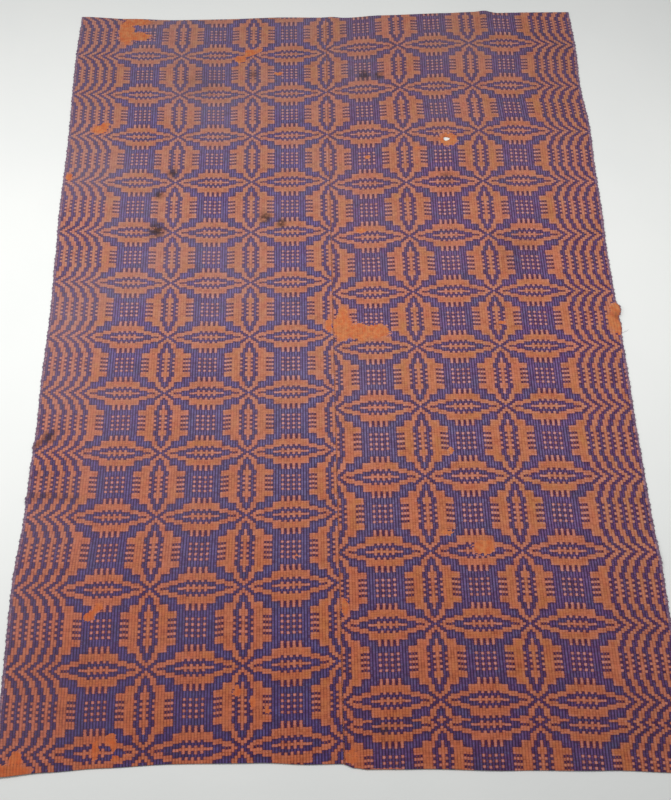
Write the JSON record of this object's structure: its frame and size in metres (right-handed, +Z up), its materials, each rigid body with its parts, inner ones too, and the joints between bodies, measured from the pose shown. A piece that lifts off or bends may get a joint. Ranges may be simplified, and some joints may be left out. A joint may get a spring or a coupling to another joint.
{
  "type": "woven coverlet",
  "caption": "Flat handwoven bed coverlet of loom-width panels sewn along a centre seam, with turned and stitched hems at both ends; folds in half along the seam.",
  "frame": {"origin": "on the floor under the middle of the coverlet's outline", "axes": "+X across the coverlet to the right, +Y along the centre seam to the far end, +Z up from the floor through the cloth"},
  "size_m": [1.7, 2.378, 0.0036],
  "materials": {
    "woven_panel": "matte wool and cotton weave, orange ground with a blue-purple pattern",
    "turned_hem": "matte weave turned under on itself",
    "sewing_thread": "matte twisted thread"
  },
  "bodies": {
    "left_half": {"left_panel": "woven_panel", "left_near_hem": "turned_hem", "left_near_hem_thread": "sewing_thread", "left_far_hem": "turned_hem", "left_far_hem_thread": "sewing_thread", "centre_seam_thread": "sewing_thread"},
    "right_half": {"right_panel": "woven_panel", "right_near_hem": "turned_hem", "right_near_hem_thread": "sewing_thread", "right_far_hem": "turned_hem", "right_far_hem_thread": "sewing_thread"}
  },
  "joints": [
    {"name": "centre_seam_fold", "type": "hinge", "parent": "left_half", "child": "right_half", "pos_m": [0, 0, 0.0041], "axis": [0, -1, 0], "range_deg": [0, 179]}
  ]
}
